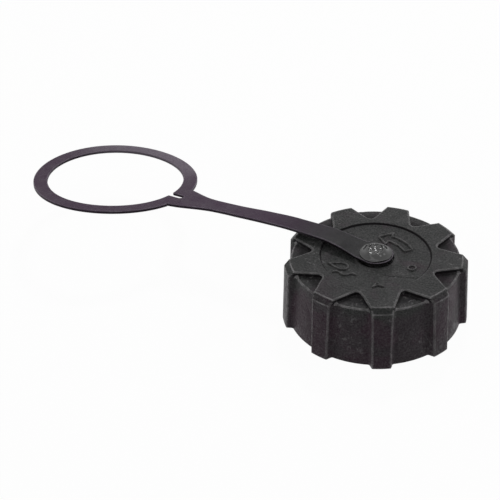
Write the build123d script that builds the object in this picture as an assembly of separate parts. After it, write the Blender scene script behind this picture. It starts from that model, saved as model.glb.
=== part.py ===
"""Vented screw-on fuel cap with nine grip lugs, held by a moulded tether that ends in a split neck ring.

Units are millimetres. +Z is up the cap's axis and the origin is the centre of the open base rim, so the
cap stands mouth down on z = 0. The tether points along -X. Its side towards -Y is the raised one.
"""
import os
from math import atan, cos, degrees, radians, sin, sqrt, tan

from build123d import *

# Cap shell, outside
cap_height = 26.7            # base rim to the flat face of the star
lug_count = 9
lug_phase = 21.2             # azimuth of the first lug, in degrees
lug_radius_base = 36.0       # over the lugs, at the base rim
lug_draft = 1.0              # how much less the radius is at the star face, before the bevel
lug_tip_width = 7.66         # across a lug's outer face, at the star face
lug_flank_angle = 18.0       # each flank against the lug's own centre line, in degrees
lug_bevel = 2.0              # bevel where a lug's outer face meets the star face
lug_reach_base = 2.4         # how far the lugs stand out of the barrel, at the base rim
lug_reach_top = 2.6          # how far they stand out of it at the pocket floor
pocket_depth = 1.9           # star face down to the floor of the V pockets
pocket_apex_round = 1.8      # plan radius at the inner end of a V pocket
star_edge_round = 0.6        # top edge of the star and upright outer edges of the lugs
star_foot_bevel = 0.35       # where the star and lugs run into the pocket floors and the barrel
rim_edge_round = 0.45        # barrel's top edge at the pocket floor

# Cap shell, top centre
star_rim_width = 3.5         # from the recess to the inner ends of the pockets
recess_step = 0.6            # depth of the recess at its edge
recess_centre_depth = 1.5    # depth of the recess at the foot of its cone
recess_flat_radius = 9.0     # inside this radius the recess floor is flat
collar_radius = 7.4          # middle of the low ridge round the well
collar_width = 0.7
collar_height = 0.3          # above the flat recess floor
well_radius = 7.0
well_depth = 2.3             # below the star face
vent_hole_radius = 0.6
vent_hole_count = 3
vent_hole_pitch_radius = 5.75

# Tether pivot: a stud moulded on the cap, its end hot-formed over the tether's eye
boss_radius = 4.6
stud_radius = 2.5
pivot_side_clearance = 0.08
pivot_end_clearance = 0.15
head_radius = 6.1
head_edge_thickness = 0.2
head_ridge_radius = 3.4      # the rounded ridge left by the forming tool
head_ridge_height = 1.8      # above the underside of the head
head_dimple_height = 1.15    # above the underside of the head

# Cap shell, inside
barrel_wall = 3.8            # at the base rim, to the root of the neck thread
seal_ledge = 0.8             # how far the bore steps in above the thread, round the seal
seal_pocket_height = 6.1     # from the ledge to the inner ceiling
top_wall = 5.1               # from the inner ceiling to the star face
spigot_gap = 3.8             # from the seal to the vent spigot
spigot_wall = 1.4
spigot_length = 2.4
snap_depth = 0.3             # bead on the baffle, groove on the spigot
snap_half_height = 0.45

# Seal
seal_outer_clearance = 0.3
seal_width = 7.3
seal_thickness = 3.0
seal_edge_bevel = 0.4

# Vent baffle, snapped over the spigot, its flange holding the seal
baffle_wall = 1.4
baffle_clearance = 0.1       # to the spigot, the ceiling and the seal
baffle_seal_overlap = 2.2    # how far the flange reaches under the seal
baffle_floor = 1.3
baffle_rib_height = 0.6      # ribs that keep the filter off the floor
baffle_rib_width = 0.8
baffle_rib_count = 6
port_radius = 0.6
port_count = 6
port_pitch_radius = 3.0

# Vent filter
filter_side_clearance = 0.2
filter_end_clearance = 0.1   # to the ceiling and to the ribs

# Vent valve: an umbrella valve, its disc on the tank side of the baffle floor
valve_disc_radius = 5.0
valve_disc_thickness = 0.9
valve_disc_edge = 0.35
valve_disc_hollow = 0.25     # slack between disc and floor inside the sealing edge
valve_stem_radius = 1.3
valve_stem_clearance = 0.05
valve_bead_radius = 1.9
valve_bead_height = 0.6

# Tether: eye, strap, fork and split neck ring in one moulding
tether_thickness = 1.2
tether_edge = 0.2            # bevel along its edges
eye_radius = 6.8
strap_stations = [5.8, 9.5, 14.5, 21.4, 35.0, 48.7, 62.3, 75.9]        # distance from the cap's axis
strap_heights = [0.68, 1.28, 2.32, 3.04, 2.77, 1.78, 0.54, -0.09]      # top face above the star face
strap_half_widths = [5.75, 5.1, 4.65, 4.2, 3.7, 3.7, 3.65, 3.6]
strap_twist_start = 21.4     # where the strap begins to turn about its own length
ring_twist = 9.0             # degrees, the -Y side raised
ring_fall = 2.35             # degrees, downwards away from the cap
ring_centre_distance = 120.9
ring_inner_radius = 28.8     # round the tank's neck
ring_band = 4.8              # width of the neck ring
fork_half_width = 8.8
fork_start = 83.5            # where the fork has reached its full width
fork_flare = 42.0            # widening of each side against the strap's length, in degrees
fork_corner_round = 3.0
slit_width = 2.9
slit_length = 7.0            # from the ring's inner circle into the fork
slit_mouth_round = 1.4

# Places that follow from the sizes above
same_height = 0.01           # edges that differ by less lie at one height
pocket_overrun = 10.0        # how far the cutters reach past the cap
ring_outer_radius = ring_inner_radius + ring_band
lug_pitch = 360 / lug_count
lug_radius_top = lug_radius_base - lug_draft
body_radius_base = lug_radius_base - lug_reach_base
body_radius_top = lug_radius_top - lug_reach_top
lug_half_pitch = radians(lug_pitch / 2)
lug_flank = radians(lug_flank_angle)
# On the line between two lugs both flanks are equally far from their own lug's centre line
flank_spread = sin(lug_half_pitch) + cos(lug_half_pitch) * tan(lug_flank)
pocket_apex = (lug_tip_width / 2 + lug_radius_top * tan(lug_flank)) / flank_spread
pocket_half_angle = lug_half_pitch + lug_flank
pocket_inner_radius = pocket_apex + pocket_apex_round * (1 / sin(pocket_half_angle) - 1)
recess_radius = pocket_inner_radius - star_rim_width
thread_bore_radius = body_radius_base - barrel_wall
seal_pocket_radius = thread_bore_radius - seal_ledge
ceiling_height = cap_height - top_wall
thread_bore_length = ceiling_height - seal_pocket_height
seal_bottom = ceiling_height - seal_thickness
seal_outer_radius = seal_pocket_radius - seal_outer_clearance
seal_inner_radius = seal_outer_radius - seal_width
spigot_outer_radius = seal_inner_radius - spigot_gap
pocket_floor = cap_height - pocket_depth
well_floor = cap_height - well_depth
recess_floor = cap_height - recess_centre_depth
eye_top = cap_height + strap_heights[0]
eye_bottom = eye_top - tether_thickness
boss_top = eye_bottom - pivot_end_clearance
head_bottom = eye_top + pivot_end_clearance
lug_slope = lug_draft / cap_height
lug_flank_start = body_radius_base + rim_edge_round / 2
spigot_bottom = ceiling_height - spigot_length
spigot_inner_radius = spigot_outer_radius - spigot_wall
snap_height = spigot_bottom + spigot_length / 2
baffle_inner_radius = spigot_outer_radius + baffle_clearance
baffle_outer_radius = baffle_inner_radius + baffle_wall
baffle_top = ceiling_height - baffle_clearance
baffle_flange_radius = seal_inner_radius + baffle_seal_overlap
baffle_flange_top = min(seal_bottom, spigot_bottom) - baffle_clearance
baffle_bottom = baffle_flange_top - baffle_floor
filter_radius = spigot_inner_radius - filter_side_clearance
filter_bottom = baffle_flange_top + baffle_rib_height + filter_end_clearance
filter_top = ceiling_height - filter_end_clearance
bore_points = [
    (thread_bore_radius, 0),
    (thread_bore_radius, thread_bore_length),
    (seal_pocket_radius, thread_bore_length),
    (seal_pocket_radius, ceiling_height),
]

STANDING = (Align.CENTER, Align.CENTER, Align.MIN)


def ring_profile(points):
    """A solid turned about the cap's axis from (radius, height) points."""
    outline = [(radius, 0, height) for radius, height in points]
    return revolve(make_face(Polyline(*outline, close=True)), Axis.Z)


def polar(radius, azimuth):
    return (radius * cos(radians(azimuth)), radius * sin(radians(azimuth)))


def stud_head():
    """The hot-formed head: a flange, a rounded ridge and a shallow dimple at its centre."""
    edge_top = (head_radius, 0, head_bottom + head_edge_thickness)
    ridge = (head_ridge_radius, 0, head_bottom + head_ridge_height)
    centre = (0, 0, head_bottom + head_dimple_height)
    outline = [
        Line((0, 0, head_bottom), (head_radius, 0, head_bottom)),
        Line((head_radius, 0, head_bottom), edge_top),
        Spline(edge_top, ridge, centre, tangents=[(-1, 0, 0.15), (-1, 0, 0)]),
        Line(centre, (0, 0, head_bottom)),
    ]
    return revolve(make_face(outline), Axis.Z)


def cap_turned():
    """Everything on the cap that is turned about its axis: shell, recess, well, boss, stud and spigot."""
    collar_in = collar_radius - collar_width / 2
    collar_out = collar_radius + collar_width / 2
    shell = ring_profile([
        (0, ceiling_height),
        (0, boss_top),
        (boss_radius, boss_top),
        (boss_radius, well_floor),
        (well_radius, well_floor),
        (collar_in, recess_floor + collar_height),
        (collar_out, recess_floor + collar_height),
        (collar_out + collar_height, recess_floor),
        (recess_flat_radius, recess_floor),
        (recess_radius, cap_height - recess_step),
        (recess_radius + recess_step / 2, cap_height),
        (lug_radius_top - lug_bevel, cap_height),
        (lug_radius_top + lug_slope * lug_bevel, cap_height - lug_bevel),
        (lug_radius_base, 0),
        *bore_points,
    ])
    stud = Cylinder(stud_radius, head_bottom - boss_top, align=STANDING)
    groove_top = snap_height + snap_half_height
    groove_bottom = snap_height - snap_half_height
    spigot = ring_profile([
        (spigot_inner_radius, ceiling_height),
        (spigot_outer_radius, ceiling_height),
        (spigot_outer_radius, groove_top),
        (spigot_outer_radius - snap_depth, snap_height),
        (spigot_outer_radius, groove_bottom),
        (spigot_outer_radius, spigot_bottom),
        (spigot_inner_radius, spigot_bottom),
    ])
    return shell + Pos(0, 0, boss_top) * stud + stud_head() + spigot


def pocket_cutter():
    """The V between two lugs, in plan: two flanks that meet in a rounded apex."""
    reach = lug_radius_base + pocket_overrun
    half_width = (reach - pocket_apex) * tan(pocket_half_angle)
    wedge = make_face(Polyline((pocket_apex, 0), (reach, half_width), (reach, -half_width), close=True))
    wedge = fillet(wedge.vertices().sort_by(Axis.X)[0], pocket_apex_round)
    return extrude(wedge, cap_height + pocket_overrun)


def barrel():
    """The plain drafted barrel that closes the shell between the lugs, up to the pocket floor."""
    inner = recess_radius
    body = ring_profile([
        (inner, ceiling_height),
        (inner, pocket_floor),
        (body_radius_top, pocket_floor),
        (body_radius_base, 0),
        *bore_points,
    ])
    floor_edges = body.edges().filter_by_position(Axis.Z, pocket_floor, pocket_floor)
    rim = floor_edges.sort_by(SortBy.LENGTH)[-1]
    return fillet(rim, rim_edge_round)


def radius_of(edge):
    """How far the middle of an edge is from the cap's axis."""
    centre = edge.center()
    return sqrt(centre.X**2 + centre.Y**2)


def is_flat(edge):
    return edge.bounding_box().size.Z < same_height


def star_outline(body):
    """Edges round the star and up the lugs. The two arcs of each lug's bevel stay sharp."""
    for edge in body.edges():
        radius = radius_of(edge)
        if is_flat(edge):
            on_star = abs(edge.center().Z - cap_height) < same_height
            if on_star and recess_radius + recess_step < radius < lug_radius_top - 2 * lug_bevel:
                yield edge
        elif radius > lug_flank_start:
            yield edge


def star_foot(body):
    """Edges where the star and lugs run into the pocket floors, the barrel's rim and the barrel."""
    for edge in body.edges():
        radius = radius_of(edge)
        height = edge.center().Z
        if is_flat(edge):
            on_floor = abs(height - pocket_floor) < same_height
            if on_floor and recess_radius + recess_step < radius < body_radius_top - lug_bevel:
                yield edge
        elif height < pocket_floor and body_radius_top - rim_edge_round < radius < lug_flank_start:
            yield edge


def cap_body():
    """One moulding: barrel, nine lugs that run into a raised star, pivot stud and vent spigot."""
    body = cap_turned()
    cutter = pocket_cutter()
    for lug in range(lug_count):
        body -= Rot(0, 0, lug_phase + (lug + 0.5) * lug_pitch) * cutter
    body += barrel()
    body = fillet(list(star_outline(body)), star_edge_round)
    body = chamfer(list(star_foot(body)), star_foot_bevel)
    hole_length = well_floor - ceiling_height + collar_height
    hole = Cylinder(vent_hole_radius, hole_length, align=STANDING)
    for turn in range(vent_hole_count):
        place = polar(vent_hole_pitch_radius, turn * 360 / vent_hole_count)
        body -= Pos(*place, ceiling_height) * hole
    return body


def seal_gasket():
    """Flat rubber ring under the ceiling, on which the tank's neck seats."""
    ring = ring_profile([
        (seal_inner_radius, seal_bottom),
        (seal_outer_radius, seal_bottom),
        (seal_outer_radius, ceiling_height),
        (seal_inner_radius, ceiling_height),
    ])
    lower = ring.edges().filter_by_position(Axis.Z, seal_bottom, seal_bottom)
    return chamfer(lower, seal_edge_bevel)


def vent_baffle():
    """Moulded disc with a cup wall that snaps over the spigot. Ribs hold the filter off its floor."""
    body = ring_profile([
        (0, baffle_bottom),
        (baffle_flange_radius, baffle_bottom),
        (baffle_flange_radius, baffle_flange_top),
        (baffle_outer_radius, baffle_flange_top),
        (baffle_outer_radius, baffle_top),
        (baffle_inner_radius, baffle_top),
        (baffle_inner_radius, snap_height + snap_half_height - baffle_clearance),
        (baffle_inner_radius - snap_depth, snap_height),
        (baffle_inner_radius, snap_height - snap_half_height + baffle_clearance),
        (baffle_inner_radius, baffle_flange_top),
        (0, baffle_flange_top),
    ])
    rib_inner = port_pitch_radius + port_radius + valve_bead_radius / 2
    rib_outer = spigot_inner_radius - filter_side_clearance
    rib_size = (rib_outer - rib_inner, baffle_rib_width, baffle_rib_height)
    rib = Pos(rib_inner, 0, baffle_flange_top) * Box(*rib_size, align=(Align.MIN, Align.CENTER, Align.MIN))
    for turn in range(baffle_rib_count):
        body += Rot(0, 0, (turn + 0.5) * 360 / baffle_rib_count) * rib
    through = 3 * baffle_floor
    port = Pos(port_pitch_radius, 0, baffle_bottom) * Cylinder(port_radius, through)
    for turn in range(port_count):
        body -= Rot(0, 0, turn * 360 / port_count) * port
    return body - Pos(0, 0, baffle_bottom) * Cylinder(valve_stem_radius + valve_stem_clearance, through)


def vent_filter():
    """Open-cell disc inside the spigot, between the ceiling and the baffle's ribs."""
    thickness = filter_top - filter_bottom
    return Pos(0, 0, filter_bottom) * Cylinder(filter_radius, thickness, align=STANDING)


def vent_valve():
    """Rubber umbrella valve: a thin domed disc under the baffle's ports, a stem and a retaining bead."""
    disc_foot = baffle_bottom - valve_disc_edge
    return ring_profile([
        (0, baffle_bottom - valve_disc_thickness),
        (valve_stem_radius, baffle_bottom - valve_disc_thickness),
        (valve_disc_radius, disc_foot),
        (valve_disc_radius, baffle_bottom),
        (valve_disc_radius - valve_disc_edge, baffle_bottom),
        (valve_stem_radius * 2, baffle_bottom - valve_disc_hollow),
        (valve_stem_radius, baffle_bottom - valve_disc_hollow),
        (valve_stem_radius, baffle_flange_top),
        (valve_bead_radius, baffle_flange_top),
        (valve_stem_radius, baffle_flange_top + valve_bead_height),
        (0, baffle_flange_top + valve_bead_height),
    ])


def strap_frame(distance, height, slope, twist):
    """A place on the strap's top face: x along it, y across it to the raised side, z out of it."""
    place = Pos(-distance, 0, cap_height + height) * Rot(0, 0, 180)
    return place * Rot(0, -degrees(atan(slope)), 0) * Rot(twist, 0, 0)


def strap_section(frame, half_width, bevel_width=tether_edge):
    """A cut across the strap: a flat bar with bevelled edges."""
    inner = half_width - bevel_width
    sides = [(inner, 0), (half_width, -tether_edge)]
    sides += [(y, -tether_thickness - z) for y, z in reversed(sides)]
    other_sides = [(-y, z) for y, z in reversed(sides)]
    outline = [(0, y, z) for y, z in sides + other_sides]
    return frame * make_face(Polyline(*outline, close=True))


def eye_frame():
    return strap_frame(strap_stations[0], strap_heights[0], 0, 0)


def neck_frame():
    return strap_frame(strap_stations[-1], strap_heights[-1], -tan(radians(ring_fall)), ring_twist)


def strap():
    """The strap between the eye and the fork, rising over the cap's rim, then sagging and twisting."""
    eye_taper = atan((eye_radius - strap_half_widths[0]) / strap_stations[0])
    sections = [strap_section(eye_frame(), strap_half_widths[0], tether_edge / cos(eye_taper))]
    twist_length = strap_stations[-1] - strap_twist_start
    for index in range(1, len(strap_stations) - 1):
        run = strap_stations[index + 1] - strap_stations[index - 1]
        slope = (strap_heights[index + 1] - strap_heights[index - 1]) / run
        share = max(0, (strap_stations[index] - strap_twist_start) / twist_length)
        twist = ring_twist * share * share * (3 - 2 * share)
        frame = strap_frame(strap_stations[index], strap_heights[index], slope, twist)
        sections.append(strap_section(frame, strap_half_widths[index]))
    sections.append(strap_section(neck_frame(), strap_half_widths[-1]))
    return loft(sections)


def flat_outline(plate, cut):
    """Edges round the two faces of a flat plate, but for those on its cut end at x = cut."""
    for edge in plate.edges():
        if is_flat(edge) and abs(edge.center().X - cut) > same_height:
            yield edge


def eye():
    """The round end of the strap, flat as far as the stud's head reaches, with a hole for the stud."""
    reach = strap_stations[0]
    root = strap_half_widths[0]
    corners = [(0, eye_radius), (-reach, root), (-reach, -root), (0, -eye_radius)]
    taper = make_face(Polyline(*corners, close=True))
    beyond = Pos(-reach - eye_radius, 0) * Rectangle(eye_radius * 2, eye_radius * 2)
    outline = Circle(eye_radius) + taper - beyond - Circle(stud_radius + pivot_side_clearance)
    plate = Pos(0, 0, eye_top) * extrude(outline, -tether_thickness)
    return chamfer(list(flat_outline(plate, -reach)), tether_edge)


def ring_plate():
    """The flat end: a fork that widens from the strap and the neck ring on it, split at the fork."""
    neck = strap_stations[-1]
    centre = ring_centre_distance - neck
    full = fork_start - neck
    neck_half = strap_half_widths[-1]
    flare_start = full - (fork_half_width - neck_half) / tan(radians(fork_flare))
    flare = [(flare_start, neck_half), (full, fork_half_width)]
    one_side = [(0, neck_half), *flare, (centre, fork_half_width)]
    other_side = [(x, -y) for x, y in reversed(one_side)]
    fork = make_face(Polyline(*one_side, *other_side, close=True))
    corners = fork.vertices().filter_by_position(Axis.X, flare_start, full)
    fork = fillet(corners, fork_corner_round)
    plate = fork + Pos(centre, 0) * Circle(ring_outer_radius)
    plate -= Pos(centre, 0) * Circle(ring_inner_radius)
    slit_end = centre - ring_inner_radius - slit_length + slit_width / 2
    slit = Pos((slit_end + centre) / 2, 0) * Rectangle(centre - slit_end, slit_width)
    plate -= slit + Pos(slit_end, 0) * Circle(slit_width / 2)
    mouth_x = centre - sqrt(ring_inner_radius**2 - slit_width**2 / 4)
    mouth = [v for v in plate.vertices() if abs(v.X - mouth_x) < same_height and abs(v.Y) < slit_width]
    plate = extrude(fillet(mouth, slit_mouth_round), -tether_thickness)
    return neck_frame() * chamfer(list(flat_outline(plate, 0)), tether_edge)


def tether_strap():
    """Eye, strap, fork and split neck ring, moulded in one piece."""
    return eye() + strap() + ring_plate()


parts = {
    "cap_body": cap_body(),
    "seal_gasket": seal_gasket(),
    "vent_baffle": vent_baffle(),
    "vent_filter": vent_filter(),
    "vent_valve": vent_valve(),
    "tether_strap": tether_strap(),
}

if __name__ == "__main__":
    os.makedirs("parts", exist_ok=True)
    for name, solid in parts.items():
        print(name, solid.is_valid, len(solid.solids()), round(solid.volume), solid.bounding_box().size)
        export_step(solid, f"parts/{name}.step")
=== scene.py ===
from functools import partial, reduce
from math import cos, pi, radians, sin

import bpy
import numpy as np
from bpy.props import FloatProperty, FloatVectorProperty, IntProperty, PointerProperty
from mathutils import Matrix, Vector
from mathutils.geometry import delaunay_2d_cdt


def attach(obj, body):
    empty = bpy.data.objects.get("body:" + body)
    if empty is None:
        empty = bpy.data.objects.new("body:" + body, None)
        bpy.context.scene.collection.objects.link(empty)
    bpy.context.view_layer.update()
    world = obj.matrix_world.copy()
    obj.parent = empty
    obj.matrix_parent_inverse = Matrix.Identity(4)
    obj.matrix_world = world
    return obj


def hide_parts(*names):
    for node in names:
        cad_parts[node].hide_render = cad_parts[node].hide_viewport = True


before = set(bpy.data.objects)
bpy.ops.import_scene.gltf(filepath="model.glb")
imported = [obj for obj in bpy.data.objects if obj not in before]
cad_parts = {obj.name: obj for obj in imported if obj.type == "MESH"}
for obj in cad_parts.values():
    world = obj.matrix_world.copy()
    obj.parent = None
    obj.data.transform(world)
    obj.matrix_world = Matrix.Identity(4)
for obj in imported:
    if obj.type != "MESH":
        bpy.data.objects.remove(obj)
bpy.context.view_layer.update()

bl_info = {
    "name": "Vented fuel cap dresser",
    "version": (1, 0, 0),
    "blender": (4, 5, 0),
    "location": "View3D > Sidebar > Fuel cap",
    "description": "Dresses the vented fuel cap: plastics, stud head, relief marks, thread and soft parts",
    "category": "Object",
}

MM = 0.001  # the arrays below are in millimetres, and meshes are in metres
STAR_FACE = 26.7  # height of the cap's star face, in millimetres


# Arrays and meshes


def cad_points(node):
    """The vertices of a CAD node, in millimetres, as an (n, 3) array."""
    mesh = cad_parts[node].data
    flat = np.empty(len(mesh.vertices) * 3)
    mesh.vertices.foreach_get("co", flat)
    return flat.reshape(-1, 3) / MM


def from_axis(points):
    """Distance of points from the cap's axis."""
    return np.hypot(points[..., 0], points[..., 1])


def full_turn(count):
    """Angles of one turn, as a column."""
    return np.linspace(0, 2 * pi, count, endpoint=False)[:, None]


def around(radius, angle, height):
    """Points at a radius, an angle and a height about the cap's axis, which are broadcast together."""
    return np.stack(np.broadcast_arrays(radius * np.cos(angle), radius * np.sin(angle), height), axis=-1)


def left_normals(path, closed=True):
    """Unit normals on the left of a plan path."""
    ahead, behind = np.roll(path, -1, axis=0), np.roll(path, 1, axis=0)
    if not closed:
        ahead[-1], behind[0] = path[-1], path[0]
    along = ahead - behind
    along /= np.linalg.norm(along, axis=1, keepdims=True)
    return np.stack([-along[:, 1], along[:, 0]], axis=1)


def grid_quads(rows, columns, close_rows=False, close_columns=False):
    """Quads of a grid whose vertex (i, j) has number i * columns + j. A closed side joins its last line
    to its first."""
    i = np.arange(rows if close_rows else rows - 1)
    j = np.arange(columns if close_columns else columns - 1)
    i, j = [a.ravel() for a in np.meshgrid(i, j, indexing="ij")]
    after_i, after_j = (i + 1) % rows, (j + 1) % columns
    corners = [i * columns + j, after_i * columns + j, after_i * columns + after_j, i * columns + after_j]
    return np.stack(corners, axis=1).tolist()


def end_faces(total, columns):
    """Faces that close the ends of a tube of that many points, with that many in each ring."""
    return [list(range(columns)), list(range(total - 1, total - 1 - columns, -1))]


def smooth_step(x):
    """0 below 0, 1 above 1, and 3x^2 - 2x^3 in between."""
    x = np.clip(x, 0, 1)
    return x * x * (3 - 2 * x)


def add_piece(name, shape, material, body, sharp_angle=40, replaces=()):
    """A mesh piece from its points in millimetres and its faces, riding on a body of the frame."""
    points, faces = shape
    mesh = bpy.data.meshes.new(name)
    mesh.from_pydata((points * MM).tolist(), [], faces)
    mesh.validate()
    mesh.shade_smooth()
    mesh.set_sharp_from_angle(angle=radians(sharp_angle))
    mesh.materials.append(material)
    piece = bpy.data.objects.new(name, mesh)
    bpy.context.scene.collection.objects.link(piece)
    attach(piece, body)
    if replaces:
        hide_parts(*replaces)
    return piece


def revolved(profile, count, wobble=None):
    """A closed profile of (radius, height) rows turned about Z: point (i, j) is profile row j at angle
    2 pi i / count. wobble(angle, radius, height) gives a rise that is added to the height."""
    angle = full_turn(count)
    radius, height = np.array(profile, float).T
    if wobble:
        height = height + wobble(angle, radius, height)
    quads = grid_quads(count, len(profile), close_rows=True, close_columns=True)
    return around(radius, angle, height).reshape(-1, 3), quads


def rounded_outline(corners, radius, steps=4):
    """A closed outline with its corners cut by quadratic curves that begin radius before each corner: each is
    (1 - t)^2 start + 2 t (1 - t) corner + t^2 end."""
    corners = np.array(corners, float)
    before, after = np.roll(corners, 1, axis=0), np.roll(corners, -1, axis=0)
    longest = 0.45  # the share of a side that one of its corners may take
    t = np.linspace(0, 1, steps)[:, None]
    rows = []
    for corner, last, following in zip(corners, before, after):
        back, on = last - corner, following - corner
        back_length, on_length = np.linalg.norm(back), np.linalg.norm(on)
        cut = min(radius, back_length * longest, on_length * longest)
        start, end = corner + back / back_length * cut, corner + on / on_length * cut
        rows.append((1 - t) ** 2 * start + 2 * t * (1 - t) * corner + t**2 * end)
    return np.concatenate(rows)


# Materials


def add_node(tree, kind, inputs=None, **settings):
    """A node of that kind, with its settings and the values or links of its inputs."""
    made = tree.nodes.new(kind)
    for key, value in settings.items():
        setattr(made, key, value)
    for key, value in (inputs or {}).items():
        if isinstance(value, bpy.types.NodeSocket):
            tree.links.new(value, made.inputs[key])
        else:
            made.inputs[key].default_value = value
    return made


def maths(tree, operation, first, second=0.5, clamp=False):
    inputs = {0: first, 1: second}
    return add_node(tree, "ShaderNodeMath", inputs, operation=operation, use_clamp=clamp).outputs[0]


def product(tree, *values):
    return reduce(lambda first, second: maths(tree, "MULTIPLY", first, second), values)


def greatest(tree, *values):
    return reduce(lambda first, second: maths(tree, "MAXIMUM", first, second), values)


def apart(tree, first, second):
    """Size of the difference of two values."""
    return maths(tree, "ABSOLUTE", maths(tree, "SUBTRACT", first, second))


def vector_maths(tree, operation, first, second=(0, 0, 0)):
    return add_node(tree, "ShaderNodeVectorMath", {0: first, 1: second}, operation=operation).outputs


def remapped(tree, value, low, high, to_low=0.0, to_high=1.0):
    inputs = {"Value": value, "From Min": low, "From Max": high, "To Min": to_low, "To Max": to_high}
    return add_node(tree, "ShaderNodeMapRange", inputs, interpolation_type="SMOOTHSTEP").outputs["Result"]


def rgba(colour):
    return colour if isinstance(colour, bpy.types.NodeSocket) else (*colour, 1.0)


def mixed(tree, share, first, second):
    """A colour between two colours, by the mix node's own colour sockets."""
    inputs = {0: share, 6: rgba(first), 7: rgba(second)}
    return add_node(tree, "ShaderNodeMix", inputs, data_type="RGBA").outputs[2]


def coordinates(tree, kind="Object"):
    """Place on the object itself, or its Normal there."""
    return tree.nodes.new("ShaderNodeTexCoord").outputs[kind]


def coordinate(tree, axis, kind="Object"):
    return add_node(tree, "ShaderNodeSeparateXYZ", {0: coordinates(tree, kind)}).outputs[axis]


def plan_radius(tree):
    """Distance from the cap's axis."""
    plan = vector_maths(tree, "MULTIPLY", coordinates(tree), (1, 1, 0))[0]
    return vector_maths(tree, "LENGTH", plan)["Value"]


def noise(tree, scale, detail=3.0, roughness=0.55, distortion=0.0, place=None):
    """Noise over the object's own coordinates, or over another place."""
    inputs = {"Scale": scale, "Detail": detail, "Roughness": roughness, "Distortion": distortion}
    inputs["Vector"] = coordinates(tree) if place is None else place
    return add_node(tree, "ShaderNodeTexNoise", inputs).outputs[0]


def bent_edges(tree, width, full):
    """Mask of edges and corners: 1 minus the dot product of the rounded and the true normal, up to full."""
    rounded = add_node(tree, "ShaderNodeBevel", {"Radius": width}, samples=6).outputs[0]
    true_normal = tree.nodes.new("ShaderNodeNewGeometry").outputs["True Normal"]
    alike = vector_maths(tree, "DOT_PRODUCT", rounded, true_normal)["Value"]
    least = 0.0015
    return remapped(tree, maths(tree, "SUBTRACT", 1.0, alike, clamp=True), least, full)


def broken_up(tree, mask, given, detail=3.0):
    """A mask thinned in patches of noise, by its group's Breakup Scale and Breakup."""
    patches = remapped(tree, noise(tree, given["Breakup Scale"], detail), 0.35, 0.65)
    kept = maths(tree, "SUBTRACT", 1.0, product(tree, given["Breakup"], patches))
    return product(tree, mask, kept)


def new_group(name, inputs, output):
    """A shader node group with number inputs, as names with their defaults, and one number output."""
    tree = bpy.data.node_groups.new(name, "ShaderNodeTree")
    for label, value in inputs.items():
        tree.interface.new_socket(label, in_out="INPUT", socket_type="NodeSocketFloat").default_value = value
    tree.interface.new_socket(output, in_out="OUTPUT", socket_type="NodeSocketFloat")
    return tree, tree.nodes.new("NodeGroupInput").outputs, tree.nodes.new("NodeGroupOutput").inputs[output]


def edge_wear_and_highlight_group():
    """Mask of edges and corners, broken up by noise."""
    inputs = {"Width": 0.0008, "Breakup Scale": 300.0, "Breakup": 0.5}
    tree, given, result = new_group("edge wear", inputs, "Mask")
    tree.links.new(broken_up(tree, bent_edges(tree, given["Width"], 0.03), given), result)
    return tree


def moulded_grain_group():
    """Height of a moulded skin: a fine spark-eroded grain on a slow unevenness."""
    inputs = {"Fine Scale": 2600.0, "Slow Scale": 160.0, "Slow Share": 0.6}
    tree, given, result = new_group("moulded grain", inputs, "Height")
    fine = noise(tree, given["Fine Scale"], detail=2.0)
    slow = noise(tree, given["Slow Scale"], detail=2.0)
    tree.links.new(maths(tree, "ADD", fine, product(tree, slow, given["Slow Share"])), result)
    return tree


def scuffs_group():
    """Mask of scuffs: fine broken strokes that only show inside slow patches."""
    inputs = {"Patch Scale": 70.0, "Stroke Scale": 900.0, "Coverage": 0.5, "Strength": 1.0}
    tree, given, result = new_group("scuffs", inputs, "Mask")
    cover = maths(tree, "SUBTRACT", 1.0, given["Coverage"])
    patch = noise(tree, given["Patch Scale"], detail=2.0, distortion=0.8)
    inside_patch = remapped(tree, patch, cover, maths(tree, "ADD", cover, 0.16))
    inputs = {"Vector": coordinates(tree), "Scale": (1.0, 1.0, 0.65)}
    stretched = add_node(tree, "ShaderNodeMapping", inputs).outputs[0]
    strokes = noise(tree, given["Stroke Scale"], detail=4.0, roughness=0.7, place=stretched)
    stroke = remapped(tree, strokes, 0.52, 0.66)
    tree.links.new(product(tree, inside_patch, stroke, given["Strength"]), result)
    return tree


def use_group(tree, name, maker, **inputs):
    """The named node group, made on its first use, placed in a material with its own values."""
    group = bpy.data.node_groups.get(name) or maker()
    made = tree.nodes.new("ShaderNodeGroup")
    made.node_tree = group
    for key, value in inputs.items():
        made.inputs[key.replace("_", " ").title()].default_value = value
    return made.outputs[0]


def uneven(scale, low, high):
    """A roughness that drifts between two values."""
    return lambda tree: remapped(tree, noise(tree, scale), 0.3, 0.7, low, high)


def grain(fine, slow, share):
    """The height of the moulded grain."""
    values = {"fine_scale": fine, "slow_scale": slow, "slow_share": share}
    return lambda tree: use_group(tree, "moulded grain", moulded_grain_group, **values)


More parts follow.
